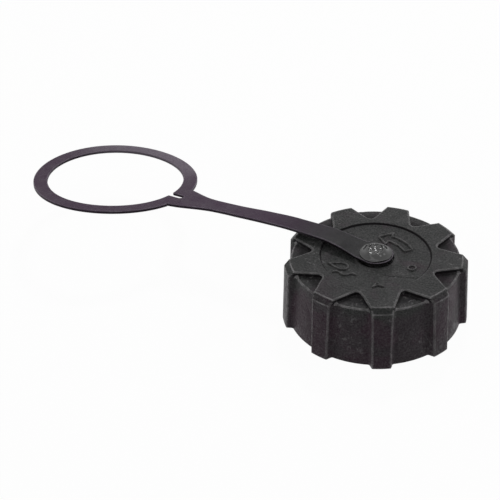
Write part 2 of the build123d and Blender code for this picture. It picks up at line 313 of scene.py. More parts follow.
def new_material(name, colour, roughness, specular, height, bump, rounding=0.0, tint=(1.0, 1.0, 1.0)):
    """A Principled material. colour(tree) and height(tree) give sockets, and roughness is such a function too
    or a plain value. rounding is how far its normals soften the edges, and tint colours its reflections."""
    material = bpy.data.materials.new(name)
    material.use_nodes = True
    tree = material.node_tree
    shader = next(n for n in tree.nodes if n.type == "BSDF_PRINCIPLED")
    shader.inputs["Specular IOR Level"].default_value = specular
    shader.inputs["Specular Tint"].default_value = rgba(tint)
    tree.links.new(colour(tree), shader.inputs["Base Color"])
    if callable(roughness):
        tree.links.new(roughness(tree), shader.inputs["Roughness"])
    else:
        shader.inputs["Roughness"].default_value = roughness
    inputs = {"Height": height(tree), "Strength": 1.0, "Distance": bump}
    if rounding:
        inputs["Normal"] = add_node(tree, "ShaderNodeBevel", {"Radius": rounding}, samples=4).outputs[0]
    tree.links.new(add_node(tree, "ShaderNodeBump", inputs).outputs[0], shader.inputs["Normal"])
    return material


# Sizes and colours that a user would change


def colour_property(name, description, default):
    return FloatVectorProperty(
        name=name, description=description, default=default, subtype="COLOR", size=3, min=0, max=1)


def number_property(name, description, default, subtype="FACTOR", unit="NONE"):
    return FloatProperty(name=name, description=description, default=default, subtype=subtype, unit=unit)


length_property = partial(number_property, subtype="DISTANCE", unit="LENGTH")
power_property = partial(number_property, subtype="POWER", unit="POWER")
angle_property = partial(number_property, subtype="ANGLE", unit="ROTATION")


class StageSettings(bpy.types.PropertyGroup):
    bearing: angle_property("Bearing", "Turn of the camera about the cap, from along +Y", radians(31.8))
    pitch: angle_property("Pitch", "How far the camera looks down", 0.619137699)
    roll: angle_property("Roll", "Turn of the camera about its own view", -0.0325309227)
    distance: length_property("Distance", "From the camera to the star face's centre", 0.5716845)
    aside: length_property("Aside", "How far right of the view's middle the star face's centre is", 0.0478910)
    aloft: length_property("Aloft", "How far above the view's middle the star face's centre is", -0.0016977)
    lens: number_property("Lens", "Focal length for a 36 mm sensor", 108.0, "DISTANCE_CAMERA", "CAMERA")
    ambient: number_property("Ambient", "Strength of the light from all round", 0.16)
    back_power: power_property("Back lamp", "Power of the lamp behind and above", 0.85)
    left_power: power_property("Left lamp", "Power of the lamp on the left", 0.28)
    right_power: power_property("Right lamp", "Power of the lamp on the right", 0.36)
    top_power: power_property("Top lamp", "Power of the lamp overhead", 0.2)
    floor_colour: colour_property("Floor", "Colour of the floor", (0.66, 0.66, 0.66))


class CapSettings(bpy.types.PropertyGroup):
    top_colour: colour_property("Top plastic", "Weathered charcoal of the star face", (0.020, 0.0250, 0.0215))
    side_colour: colour_property("Side plastic", "Warmer plastic down the sides", (0.031, 0.0115, 0.0225))
    patch_colour: colour_property("Side patches", "Greyer patches down the sides", (0.026, 0.0190, 0.0235))
    # Pale colour for scuffs, speckle and worn edges; on the edges it also stands for a painted highlight.
    worn_and_highlight_colour: colour_property("Worn and highlit plastic", "Rubbed edges and scuffs", (0.62, 0.60, 0.61))
    # Painted shade: the near-black that darkens the pockets and the corner round the recess, where shade falls.
    painted_shade_colour: colour_property("Painted shade", "Dark corner of the recess, and pockets", (0.006, 0.0055, 0.006))
    mark_turn: angle_property("Turn of the marks", "Azimuth of the relief marks' own x axis", radians(31.8))
    mark_height: length_property("Mark height", "Rise of the relief marks", 0.0006)
    mark_width: length_property("Mark width", "Width of a relief stroke", 0.00095)
    thread_pitch: length_property("Thread pitch", "Rise of the neck thread in one turn", 0.004)
    thread_depth: length_property("Thread depth", "How far the thread stands in from its bore", 0.0012)


class StudSettings(bpy.types.PropertyGroup):
    colour: colour_property("Formed plastic", "Melted and pressed head of the stud", (0.005, 0.0048, 0.005))
    cover: length_property("Cover", "How far the formed skin stands off the plain head", 0.00005)
    crinkle: length_property("Crinkle", "Height of the folds in the head", 0.0005)
    fold_count: IntProperty(name="Folds", description="How many small folds the head has", default=6, min=0)
    seed: IntProperty(name="Seed", description="Seed of the folds", default=11, min=0)


class TetherSettings(bpy.types.PropertyGroup):
    colour: colour_property("Tether plastic", "Purple grey of the thin moulding", (0.062, 0.0290, 0.064))
    near_colour: colour_property("Near the cap", "The strap's end, as grey as the cap", (0.026, 0.025, 0.027))
    # Painted shade: the narrow side faces are darkened towards this colour.
    side_colour: colour_property("Shaded tether sides", "Narrow faces round the moulding", (0.010, 0.008, 0.010))
    # Pale colour for scuffs and worn edges; on the upper edges it is also a painted highlight.
    worn_and_highlight_colour: colour_property("Worn and highlit tether", "Rubbed edges of the tether", (0.50, 0.44, 0.52))


class SoftSettings(bpy.types.PropertyGroup):
    rubber_colour: colour_property("Rubber", "Seal and valve rubber", (0.012, 0.012, 0.013))
    foam_colour: colour_property("Foam", "Open-cell vent filter", (0.070, 0.068, 0.060))
    baffle_colour: colour_property("Baffle plastic", "Inner disc", (0.022, 0.022, 0.024))


# Stage

SENSOR_WIDTH = 36  # in millimetres
CLIP_START = 0.01
LIGHT_AIM = Vector((-0.04, 0, 0.015))
# Each lamp's place across, away and up from the aim as the camera sees it, its side (metres) and its power
LAMPS = {
    "lamp_back": ((0.12, 0.42, 0.58), 0.09, "back_power"),
    "lamp_left": ((-0.55, -0.12, 0.24), 0.12, "left_power"),
    "lamp_right": ((0.60, -0.05, 0.26), 0.3, "right_power"),
    "lamp_top": ((0.0, -0.05, 0.65), 0.35, "top_power"),
}
FLOOR_REACH, FLOOR_HEIGHT = 4000.0, -0.02
FLOOR_WHITE, FLOOR_WHITE_SHARE = 1.05, 0.92


def settings(name):
    return getattr(bpy.context.scene, name)


def camera_axes(stage):
    """Right, up and forward of the camera, after its bearing, pitch and roll."""
    turn = Matrix.Rotation(stage.bearing, 3, "Z")
    forward = turn @ Vector((0, cos(stage.pitch), -sin(stage.pitch)))
    level_up = turn @ Vector((0, sin(stage.pitch), cos(stage.pitch)))
    level_right = turn @ Vector((1, 0, 0))
    right = cos(stage.roll) * level_right + sin(stage.roll) * level_up
    up = -sin(stage.roll) * level_right + cos(stage.roll) * level_up
    return right, up, forward


def add_lamp(name, place, aim, size, power):
    """A square soft lamp that looks at a point."""
    lamp = bpy.data.lights.new(name, "AREA")
    lamp.shape = "SQUARE"
    lamp.size = size
    lamp.energy = power
    made = bpy.data.objects.new(name, lamp)
    made.location = place
    made.rotation_mode = "QUATERNION"
    made.rotation_quaternion = (aim - place).to_track_quat("-Z", "Y")
    bpy.context.scene.collection.objects.link(made)


def seen_directly(tree):
    """1 for camera, glossy and transmission rays, which show the background, and 0 for the rest."""
    path = tree.nodes.new("ShaderNodeLightPath").outputs
    return greatest(tree, path["Is Glossy Ray"], path["Is Transmission Ray"], path["Is Camera Ray"])


class OBJECT_OT_fuel_cap_stage(bpy.types.Operator):
    """Pale floor, white surroundings, four soft lamps and the camera"""

    bl_idname = "object.fuel_cap_stage"
    bl_label = "Stage"

    def execute(self, context):
        stage = settings("fuel_cap_stage")
        scene = context.scene
        scene.view_settings.view_transform = "Standard"
        right, up, forward = camera_axes(stage)
        data = bpy.data.cameras.new("camera")
        data.sensor_width = SENSOR_WIDTH
        data.lens = stage.lens
        data.clip_start = CLIP_START
        camera = bpy.data.objects.new("camera", data)
        columns = Matrix((right, up, -forward)).transposed()
        star_centre = Vector((0, 0, STAR_FACE * MM))
        place = star_centre - stage.distance * forward - stage.aside * right - stage.aloft * up
        camera.matrix_world = Matrix.Translation(place) @ columns.to_4x4()
        scene.collection.objects.link(camera)
        scene.camera = camera

        across, away = [Vector((axis.x, axis.y, 0)).normalized() for axis in (right, forward)]
        for name, (offset, size, power) in LAMPS.items():
            place = LIGHT_AIM + offset[0] * across + offset[1] * away + offset[2] * Vector((0, 0, 1))
            add_lamp(name, place, LIGHT_AIM, size, getattr(stage, power))

        world = bpy.data.worlds.new("surroundings")
        scene.world = world
        world.use_nodes = True
        tree = world.node_tree
        background = next(n for n in tree.nodes if n.type == "BACKGROUND")
        background.inputs["Color"].default_value = (1, 1, 1, 1)
        strength = remapped(tree, seen_directly(tree), 0, 1, stage.ambient, 1.0)
        tree.links.new(strength, background.inputs["Strength"])
        self.add_floor(stage)
        return {"FINISHED"}

    def add_floor(self, stage):
        """A wide disc just under the cap's rim: mostly its own white where it is seen, plain pale paint under
        the lamps, and clear from below."""
        count = 64
        points = around(FLOOR_REACH, full_turn(count), FLOOR_HEIGHT).reshape(-1, 3)
        mesh = bpy.data.meshes.new("floor")
        mesh.from_pydata((points * MM).tolist(), [], [list(range(count))])
        material = bpy.data.materials.new("Floor")
        material.use_nodes = True
        tree = material.node_tree
        tree.nodes.clear()
        paint = add_node(tree, "ShaderNodeBsdfDiffuse", {"Color": rgba(stage.floor_colour)})
        white = add_node(tree, "ShaderNodeEmission", {"Color": (1, 1, 1, 1), "Strength": FLOOR_WHITE})
        share = product(tree, seen_directly(tree), FLOOR_WHITE_SHARE)
        mix = add_node(tree, "ShaderNodeMixShader", {0: share, 1: paint.outputs[0], 2: white.outputs[0]})
        below = tree.nodes.new("ShaderNodeNewGeometry").outputs["Backfacing"]
        clear = tree.nodes.new("ShaderNodeBsdfTransparent").outputs[0]
        one_sided = add_node(tree, "ShaderNodeMixShader", {0: below, 1: mix.outputs[0], 2: clear})
        add_node(tree, "ShaderNodeOutputMaterial", {"Surface": one_sided.outputs[0]})
        mesh.materials.append(material)
        floor = bpy.data.objects.new("floor", mesh)
        bpy.context.scene.collection.objects.link(floor)


# Cap

# Where the cap's masks change, as spans of radius in metres
COLLAR_SPAN = (0.0080, 0.0090)
RECESS_SPAN = (0.0204, 0.0207)
OFF_RECESS_SPAN = (0.0214, 0.0218)
STAR_SPAN = (0.0216, 0.0220)
POCKET_SPAN = (0.0285, 0.0312)
BARREL_SPAN = (0.0314, 0.0318)
LUG_END_SPAN = (0.0338, 0.0345)
LUG_SPAN = (0.0344, 0.0346)


def worn_and_highlit_edges_group():
    """Mask of the cap's own outward edges, painted pale partly as wear and partly as a painted highlight: round
    the star face, on the barrel's rim, on the lugs and on what is raised in the recess. Noise breaks it up."""
    inputs = {"Width": 0.0008, "Star Height": 0.0262, "Rim Height": 0.0249}
    inputs |= {"Breakup Scale": 400.0, "Breakup": 0.5}
    tree, given, result = new_group("rubbed edges", inputs, "Mask")
    edge = bent_edges(tree, given["Width"], 0.02)
    radius, height = plan_radius(tree), coordinate(tree, "Z")
    above = remapped(tree, maths(tree, "SUBTRACT", height, given["Star Height"]), 0.0, 0.0001)
    star = product(tree, above, remapped(tree, radius, *STAR_SPAN))
    rim = remapped(tree, apart(tree, height, given["Rim Height"]), 0.0007, 0.0010, 1.0, 0.0)
    barrel = product(tree, rim, remapped(tree, radius, *BARREL_SPAN))
    lug = remapped(tree, radius, *LUG_SPAN)
    off_collar = remapped(tree, radius, *COLLAR_SPAN, 0.35, 1.0)
    recess = product(tree, remapped(tree, radius, *RECESS_SPAN, 0.45, 0.0), off_collar)
    where = greatest(tree, star, recess, barrel, lug)
    tree.links.new(broken_up(tree, product(tree, edge, where), given, detail=4.0), result)
    return tree


def painted_shade_group():
    """Mask of painted shade, where shade falls: the pockets, most of all their walls and points, and the corner
    round the recess."""
    inputs = {"Recess Radius": 0.0211, "Recess Width": 0.0003, "Pocket Floor": 0.0249}
    tree, given, result = new_group("grime", inputs, "Mask")
    radius, height = plan_radius(tree), coordinate(tree, "Z")
    ratio = maths(tree, "DIVIDE", apart(tree, radius, given["Recess Radius"]), given["Recess Width"])
    above = remapped(tree, maths(tree, "SUBTRACT", height, given["Pocket Floor"]), -0.0004, 0.0)
    corner = product(tree, remapped(tree, ratio, 0.6, 1.2, 1.0, 0.0), above)
    steep = remapped(tree, maths(tree, "ABSOLUTE", coordinate(tree, "Z", "Normal")), 0.1, 0.35, 1.0, 0.0)
    wall = product(tree, steep, above, remapped(tree, radius, *LUG_END_SPAN, 1.0, 0.0))
    level = remapped(tree, apart(tree, height, given["Pocket Floor"]), 0.0003, 0.0005, 1.0, 0.0)
    fading = remapped(tree, radius, *POCKET_SPAN, 0.75, 0.2)
    pocket = product(tree, level, fading, remapped(tree, radius, *OFF_RECESS_SPAN))
    tree.links.new(greatest(tree, corner, wall, pocket), result)
    return tree


def cap_plastic():
    """Weathered charcoal moulding: neutral on top, warmer down the sides, speckled, pale on edges partly from
    wear and partly as a painted highlight, with painted shade in the pockets and round the recess.
    """
    cap = settings("fuel_cap_cap")
    scuffs = {"patch_scale": 85.0, "stroke_scale": 800.0, "coverage": 0.5, "strength": 0.26}
    wear_and_highlight_values = {"width": 0.0009, "breakup_scale": 420.0, "breakup": 0.6}

    def colour(tree):
        shift = remapped(tree, noise(tree, 75.0, detail=4.0, distortion=0.6), 0.3, 0.7, -0.004, 0.003)
        side = remapped(tree, maths(tree, "ADD", coordinate(tree, "Z"), shift), 0.0250, 0.0200)
        patch = remapped(tree, noise(tree, 62.0, distortion=1.0), 0.42, 0.6)
        sides = mixed(tree, patch, cap.side_colour, cap.patch_colour)
        plain = mixed(tree, side, cap.top_colour, sides)
        speckle = remapped(tree, noise(tree, 1500.0, roughness=0.7), 0.32, 0.72, 0.0, 0.13)
        speckled = mixed(tree, speckle, plain, cap.worn_and_highlight_colour)
        cloud = remapped(tree, noise(tree, 170.0, detail=4.0), 0.45, 0.8, 0.0, 0.04)
        cloudy = mixed(tree, cloud, speckled, cap.worn_and_highlight_colour)
        # Painted shade: the pockets and the corner round the recess are darkened towards a near-black.
        with_painted_shade = mixed(tree, use_group(tree, "grime", painted_shade_group), cloudy, cap.painted_shade_colour)
        scuffed = use_group(tree, "scuffs", scuffs_group, **scuffs)
        # Edges painted pale: partly wear, partly a painted highlight that stands for the light catching them.
        wear_and_highlight = product(tree, use_group(tree, "rubbed edges", worn_and_highlit_edges_group, **wear_and_highlight_values), 0.8)
        return mixed(tree, greatest(tree, scuffed, wear_and_highlight), with_painted_shade, cap.worn_and_highlight_colour)

    def roughness(tree):
        matt = product(tree, use_group(tree, "grime", painted_shade_group), 0.72)
        return greatest(tree, uneven(240.0, 0.36, 0.48)(tree), matt)

    height, tint = grain(1150.0, 190.0, 1.6), (1.0, 0.87, 0.98)
    return new_material("Cap plastic", colour, roughness, 0.11, height, 0.0003, 0.0008, tint)


class OBJECT_OT_fuel_cap_body(bpy.types.Operator):
    """Weathered plastic on the cap's moulding"""

    bl_idname = "object.fuel_cap_body"
    bl_label = "Cap plastic"

    def execute(self, context):
        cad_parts["cap_body"].material_slots[0].material = cap_plastic()
        return {"FINISHED"}


# The recess floor's least and greatest radius, and its least and greatest depth under the star face
FLOOR_RADII, FLOOR_DEPTHS = (8.2, 21.15), (0.5, 1.6)
# A relief stroke's section: each point's place across it, as a share of its width, and its share of the rise
STROKE_ACROSS = np.array([-0.5, -0.44, -0.33, -0.16, 0.16, 0.33, 0.44, 0.5])
STROKE_UP = np.array([-0.25, 0.35, 0.88, 1.0, 1.0, 0.88, 0.35, -0.25])
STROKE_END = 0.15  # the share of the rise that is left at an open stroke's ends


def recess_floor(points):
    """Height of the recess floor at plan points: read from the cap's own turned surface, by radius."""
    cap = cad_points("cap_body")
    radius, depth = from_axis(cap), STAR_FACE - cap[:, 2]
    floor = (radius > FLOOR_RADII[0]) & (radius < FLOOR_RADII[1])
    floor &= (depth > FLOOR_DEPTHS[0]) & (depth < FLOOR_DEPTHS[1])
    order = np.argsort(radius[floor])
    return np.interp(from_axis(points), radius[floor][order], cap[floor][order, 2])


def relief_stroke(path, width, rise, closed):
    """A raised stroke on the recess floor: a rounded bank carried along a plan path.
    Point (i, j) is path point i plus across j times the path's normal, at the floor's height plus up j."""
    across, up = STROKE_ACROSS * width, STROKE_UP * rise
    plan = path[:, None, :] + across[None, :, None] * left_normals(path, closed)[:, None, :]
    fade = np.ones(len(path))
    if not closed:
        fade[[0, -1]] = STROKE_END
    height = recess_floor(plan) + np.where(up > 0, up[None, :] * fade[:, None], up[None, :])
    points = np.concatenate([plan, height[..., None]], axis=-1).reshape(-1, 3)
    faces = grid_quads(len(path), len(across), close_rows=closed, close_columns=True)
    if not closed:
        faces += end_faces(len(points), len(across))
    return points, faces


def arc(radius, start, end, count):
    """Plan points on a circle about the axis, from one azimuth to another, in degrees."""
    angle = np.radians(np.linspace(start, end, count))
    return np.stack([radius * np.cos(angle), radius * np.sin(angle)], axis=1)


def turning_arrow():
    """Outline of an arrow that bends round the recess."""
    inner, outer, start, neck, tip, barb = 11.6, 14.8, 14.0, 60.0, 80.0, 2.2
    head_in, head_out = arc(inner - barb, neck, neck, 1), arc(outer + barb, neck, neck, 1)
    point = arc((inner + outer) / 2, tip, tip, 1)
    corners = [arc(outer, start, neck, 9), head_out, point, head_in, arc(inner, neck, start, 9)]
    return rounded_outline(np.concatenate(corners), 0.55, 5)


def laid(start, lean, along, across):
    """Plan points along and across a line that leaves its start at an azimuth in degrees."""
    c, s = cos(radians(lean)), sin(radians(lean))
    return np.stack([start[0] + along * c - across * s, start[1] + along * s + across * c], axis=1)


def drop_outline(centre, length, half_width, lean):
    """Outline of a drop: t runs once round, across is half_width sin t (sin t/2)^1.6 and along is
    length / 2 cos t."""
    t = np.linspace(0, 2 * pi, 48, endpoint=False)
    across = half_width * np.sin(t) * np.abs(np.sin(t / 2)) ** 1.6
    return laid(centre, lean, length / 2 * np.cos(t), across)


def wave(start, length, swing, lean):
    """A wave of one and a half periods: across is swing sin 3 pi t."""
    t = np.linspace(0, 1, 30)
    return laid(start, lean, length * t, swing * np.sin(3 * pi * t))


class OBJECT_OT_fuel_cap_marks(bpy.types.Operator):
    """Relief in the recess: a turning arrow, a drop over a wave, a chevron, a flow line and a small ring"""

    bl_idname = "object.fuel_cap_marks"
    bl_label = "Relief marks"

    def execute(self, context):
        cap = settings("fuel_cap_cap")
        width, rise = cap.mark_width / MM, cap.mark_height / MM
        finer, fine = width * 0.9, width * 0.8
        drop, ripple = drop_outline((-14.6, -5.2), 7.6, 3.1, 160), wave((-17.2, -9.6), 9.5, 0.8, -14)
        chevron = rounded_outline([(-3.0, -20.2), (-1.0, -17.0), (1.2, -20.0), (-0.9, -18.6)], 0.3, 5)
        flow = np.linspace((1.5, -11.7), (15.5, -15.3), 24)
        ring = arc(1.5, 0, 360, 25)[:-1] + (13.0, -8.4)
        strokes = [
            ("mark_arrow", turning_arrow(), width, rise, True),
            ("mark_drop", drop, finer, rise, True),
            ("mark_wave", ripple, finer, rise, False),
            ("mark_chevron", chevron, fine, rise, True),
            ("flow_line", flow, 0.35, rise / 4, False),
            ("mark_ring", ring, fine, rise, True),
        ]
        turn = cap.mark_turn
        spin = np.array([[cos(turn), sin(turn)], [-sin(turn), cos(turn)]])
        plastic = bpy.data.materials["Cap plastic"]
        for name, path, stroke_width, stroke_rise, closed in strokes:
            stroke = relief_stroke(path @ spin, stroke_width, stroke_rise, closed)
            add_piece(name, stroke, plastic, "cap")
        return {"FINISHED"}


# The neck thread's root radius, first height and turns, the angle over which each end runs out, and the share
# of its breadth that is left there
THREAD_ROOT, THREAD_START, THREAD_TURNS = 29.85, 2.6, 2.75
THREAD_RUN_OUT, THREAD_END = 0.35, 0.35
# Its section: each point's share of the depth, and its height in millimetres
THREAD_INWARD = np.array([-0.1, 0.0, 0.86, 1.0, 1.0, 0.86, 0.0, -0.1])[None, :]
THREAD_UP = np.array([-1.25, -1.2, -0.55, -0.4, 0.4, 0.55, 1.2, 1.25])[None, :]


class OBJECT_OT_fuel_cap_thread(bpy.types.Operator):
    """Neck thread inside the cap: one trapezoidal ridge wound along the bore, with tapered ends"""

    bl_idname = "object.fuel_cap_thread"
    bl_label = "Neck thread"

    def execute(self, context):
        cap = settings("fuel_cap_cap")
        ridge = self.ridge(cap.thread_pitch / MM, cap.thread_depth / MM)
        plastic = bpy.data.materials["Cap plastic"]
        add_piece("neck_thread", ridge, plastic, "cap", sharp_angle=50)
        return {"FINISHED"}

    def ridge(self, pitch, depth):
        """Point (i, j) is at turn angle a_i, radius root - depth * fade_i * inward_j and height
        start + pitch a_i / 2 pi + up_j, where up_j narrows with fade_i."""
        count = 420
        angle = np.linspace(0, 2 * pi * THREAD_TURNS, count)[:, None]
        fade = smooth_step(angle / THREAD_RUN_OUT) * smooth_step((angle[-1] - angle) / THREAD_RUN_OUT)
        radius = THREAD_ROOT - depth * np.where(THREAD_INWARD > 0, THREAD_INWARD * fade, THREAD_INWARD)
        up = THREAD_UP * (THREAD_END + (1 - THREAD_END) * fade)
        height = THREAD_START + pitch * angle / (2 * pi) + up
        points = around(radius, angle, height).reshape(-1, 3)
        columns = THREAD_UP.size
        return points, grid_quads(count, columns, close_columns=True) + end_faces(len(points), columns)


# Main folds of the stud's head: middle x, y in mm, lean in degrees, half length and half breadth in mm, and
# relative size
MAIN_FOLDS = [
    (-3.0, 1.1, -28, 2.0, 0.85, 1.3),
    (0.6, 2.2, 66, 1.7, 0.8, 1.2),
    (-1.2, -4.2, -32, 1.9, 0.8, 1.0),
    (2.6, -3.4, 60, 1.1, 0.75, 1.0),
]
HEAD_REACH, HEAD_UNDERSIDE = 6.5, 0.75  # greatest radius of the head, and its underside over the star face
# The head's lip, point by point: how far out of its rim, how far under its skin, and its share of the sway
LIP_OUT = np.array([0.0, 0.06, 0.08, 0.05, -0.02, -2.6])
LIP_DOWN = np.array([0.02, 0.04, 0.09, 0.15])
LIP_SWAY = np.array([1, 1, 1, 1, 1, 0])
FADE_START, FADE_WIDTH, FADE_END = 4.8, 1.3, 0.12  # where the folds fade, and what is left of them
FOLDS_LIMIT = 1.6


class OBJECT_OT_fuel_cap_stud(bpy.types.Operator):
    """Hot-formed head of the stud: the plain head's profile under a crinkled, glossy skin"""

    bl_idname = "object.fuel_cap_stud"
    bl_label = "Stud head"

    def execute(self, context):
        stud = settings("fuel_cap_stud")

        def colour(tree):
            pale = tuple(1.8 * c for c in stud.colour)
            return mixed(tree, remapped(tree, noise(tree, 650.0), 0.35, 0.7), stud.colour, pale)

        roughness, height = uneven(700.0, 0.08, 0.15), grain(1700.0, 900.0, 1.5)
        plastic = new_material("Formed stud plastic", colour, roughness, 0.75, height, 0.000008)
        add_piece("stud_head", self.head(stud), plastic, "cap", sharp_angle=60)
        return {"FINISHED"}

    def head(self, stud):
        """Point (i, j) is at angle 2 pi i / count. Out to the rim its height is the plain head's plus cover
        plus folds, then it turns round the lip and back under it."""
        cap = cad_points("cap_body")
        radius = from_axis(cap)
        under = STAR_FACE + HEAD_UNDERSIDE
        on_head = (radius < HEAD_REACH) & (cap[:, 2] > under)
        rim = radius[on_head].max()
        top = {}
        for r, z in zip(np.round(radius[on_head], 2), cap[on_head, 2]):
            top[r] = max(top.get(r, 0), z)
        known = np.array(sorted(top))
        heights = np.array([top[r] for r in known])
        cover = stud.cover / MM
        count, rings = 192, 64
        angle = full_turn(count)
        out = np.linspace(0.004, 1, rings)[None, :] * (rim - 0.1)
        folds = self.folds(out * np.cos(angle), out * np.sin(angle), stud)
        dome = around(out, angle, np.interp(out, known, heights) + cover + folds)
        lip_edge = np.interp(rim, known, heights)
        lip_height = np.append(lip_edge - LIP_DOWN, [under + 0.05, under + 0.06])
        lip_height[0] += cover
        sway = 0.10 * np.sin(3 * angle + 0.7) + 0.06 * np.sin(5 * angle + 2.1)
        lip = around(rim + cover + LIP_OUT + sway * LIP_SWAY, angle, lip_height)
        points = np.concatenate([dome, lip], axis=1)
        columns = points.shape[1]
        faces = grid_quads(count, columns, close_rows=True)
        faces.append([i * columns for i in range(count)][::-1])
        return points.reshape(-1, 3), faces

    def folds(self, x, y, stud):
        """Sum of small ridges, each exp(-(u/a)^2 - (v/b)^2) in its own turned axes u, v: the main ones, then
        seeded ones."""
        rng = np.random.default_rng(stud.seed)
        folds = [(px, py, radians(lean), *rest) for px, py, lean, *rest in MAIN_FOLDS]
        for _ in range(stud.fold_count):
            reach, bearing, lean = rng.uniform(1.0, 4.8), rng.uniform(0, 2 * pi), rng.uniform(0, pi)
            length, breadth, size = rng.uniform(0.8, 1.6), rng.uniform(0.4, 0.7), rng.uniform(0.2, 0.45)
            folds.append((reach * cos(bearing), reach * sin(bearing), lean, length, breadth, size))
        total = np.zeros(np.broadcast(x, y).shape)
        for px, py, lean, length, breadth, size in folds:
            dx, dy = x - px, y - py
            u, v = dx * cos(lean) + dy * sin(lean), dy * cos(lean) - dx * sin(lean)
            total += size * np.exp(-((u / length) ** 2) - (v / breadth) ** 2)
        fade = 1 - smooth_step((np.hypot(x, y) - FADE_START) / FADE_WIDTH)
        return stud.crinkle / MM * np.minimum(total, FOLDS_LIMIT) * (FADE_END + (1 - FADE_END) * fade)


# Tether: u runs along it from the stud's axis, v across it to the near side, w out of its top face, in
# millimetres. Its rise over the star face, its twist in degrees and its half widths are (u, value) knots.

TETHER_THICKNESS = 1.2
TETHER_EDGE = 0.2
EYE_RADIUS, EYE_HOLE = 6.8, 2.58
RING_CENTRE, RING_OUTER, RING_INNER = 120.9, 34.0, 28.2
STRAP_RISE = [
    (-9, 0.68), (5.8, 0.68), (9.5, 1.28), (14.5, 2.32), (21.4, 3.04), (35.0, 2.94), (48.7, 2.01),
    (62.3, 0.62), (75.9, -0.29)]
STRAP_TWIST = [(21.4, 0), (35.0, 1.4), (48.7, 4.5), (62.3, 7.6), (75.9, 9.0), (95.0, 9.8), (155.0, 7.2)]
RING_FALL = radians(2.35)
SHARED_SIDE = [
    (0, 6.8), (5.8, 5.75), (9.5, 5.15), (14.5, 4.7), (21.4, 4.4), (35.0, 4.15), (48.7, 4.15), (62.3, 4.1)]
NEAR_SIDE = [*SHARED_SIDE, (69.5, 4.5), (75.0, 5.5), (79.5, 7.0), (84.0, 8.6), (89.4, 9.9)]
FAR_SIDE = [*SHARED_SIDE, (73.0, 4.0), (77.0, 4.3), (80.5, 5.1), (84.5, 6.4), (88.8, 7.7)]
SLIT_MIDDLE, SLIT_HALF, SLIT_END = 1.1, 1.45, 88.1
MOUTH_GAP, MOUTH_ROUNDING = 1.3, 0.6
FILL_PITCH, FILL_ALONG, FILL_ACROSS = 1.4, (-6, 156), (-34, 34)  # the triangles' grid inside the outline


def smooth_curve(knots, u):
    """Cubic curve through (u, value) knots that never overshoots them: each knot's slope is the harmonic mean
    of the slopes beside it, or 0 where those differ in sign. It runs on straight past its last knot."""
    at, value = np.array(knots, float).T
    run, rise = np.diff(at), np.diff(value)
    step = rise / run
    same = step[:-1] * step[1:] > 0
    doubled = np.where(same, 2 * step[:-1] * step[1:], 0)
    inner = doubled / np.where(same, step[:-1] + step[1:], 1)
    slope = np.concatenate([step[:1], inner, step[-1:]])
    i = np.clip(np.searchsorted(at, u) - 1, 0, len(run) - 1)
    t = np.clip((u - at[i]) / run[i], 0, 1)
    start = value[i] * (2 * t**3 - 3 * t**2 + 1) + slope[i] * run[i] * (t**3 - 2 * t**2 + t)
    return start + value[i + 1] * (3 * t**2 - 2 * t**3) + slope[i + 1] * run[i] * (t**3 - t**2)


def tether_rise(u):
    """Height over the star face. Past the last knot the tether is a plane that falls away."""
    neck = STRAP_RISE[-1][0]
    return smooth_curve(STRAP_RISE, np.minimum(u, neck)) - np.tan(RING_FALL) * np.maximum(u - neck, 0)


def tether_place(u, v, w):
    """Where (u, v, w) lies on the sagging, twisting tether."""
    gap = 0.05
    tilt = np.arctan((tether_rise(u + gap) - tether_rise(u - gap)) / (2 * gap))
    twist = np.radians(smooth_curve(STRAP_TWIST, u))
    up = np.stack([np.sin(tilt), np.zeros_like(tilt), np.cos(tilt)], axis=-1)
    near = np.array([0.0, -1.0, 0.0])
    across = np.cos(twist)[:, None] * near + np.sin(twist)[:, None] * up
    out = np.cos(twist)[:, None] * up - np.sin(twist)[:, None] * near
    middle = np.stack([-u, np.zeros_like(u), STAR_FACE + tether_rise(u)], axis=-1)
    return middle + v[:, None] * across + w[:, None] * out


def circle_arc(centre, radius, start, end, pitch=0.7):
    """Points on a circle about (centre, 0), from one angle to another, in radians."""
    angle = np.linspace(start, end, int(abs(end - start) * radius / pitch) + 2)
    return np.stack([centre + radius * np.cos(angle), radius * np.sin(angle)], axis=1)


def side_points(knots, sign):
    u = np.arange(knots[0][0], knots[-1][0], 0.6)
    return np.stack([u, sign * smooth_curve(knots, u)], axis=1)


def ring_corner(side):
    """Angle about the ring's centre at which a side of the fork meets the ring."""
    v = side[-1][1]
    return np.arctan2(v, -np.sqrt(RING_OUTER**2 - v**2))


def tether_loops():
    """The tether's outline in (u, v), with its material on the left: the outside, the neck hole with its slit,
    and the stud's hole."""
    eye = circle_arc(0, EYE_RADIUS, 1.5 * pi, 0.5 * pi)[1:-1]
    ring = circle_arc(RING_CENTRE, RING_OUTER, ring_corner(NEAR_SIDE), -ring_corner(FAR_SIDE))
    outside = np.concatenate([eye, side_points(NEAR_SIDE, 1), ring, side_points(FAR_SIDE, -1)[::-1]])[::-1]
    high, low = SLIT_MIDDLE + SLIT_HALF, SLIT_MIDDLE - SLIT_HALF
    mouth = [(RING_CENTRE - np.sqrt(RING_INNER**2 - v * v), v) for v in (low, high)]
    begin = pi - np.arcsin((high + MOUTH_GAP) / RING_INNER)
    finish = -pi + np.arcsin((MOUTH_GAP - low) / RING_INNER)
    slit = circle_arc(SLIT_END, SLIT_HALF, 0.5 * pi, 1.5 * pi) + (0, SLIT_MIDDLE)
    loop = circle_arc(RING_CENTRE, RING_INNER, begin, finish)
    hole = rounded_outline(np.concatenate([loop, [mouth[0]], slit[::-1], [mouth[1]]]), MOUTH_ROUNDING)
    stud_hole = circle_arc(0, EYE_HOLE, 2 * pi, 0, pitch=0.35)[:-1]
    return [outside, hole, stud_hole]


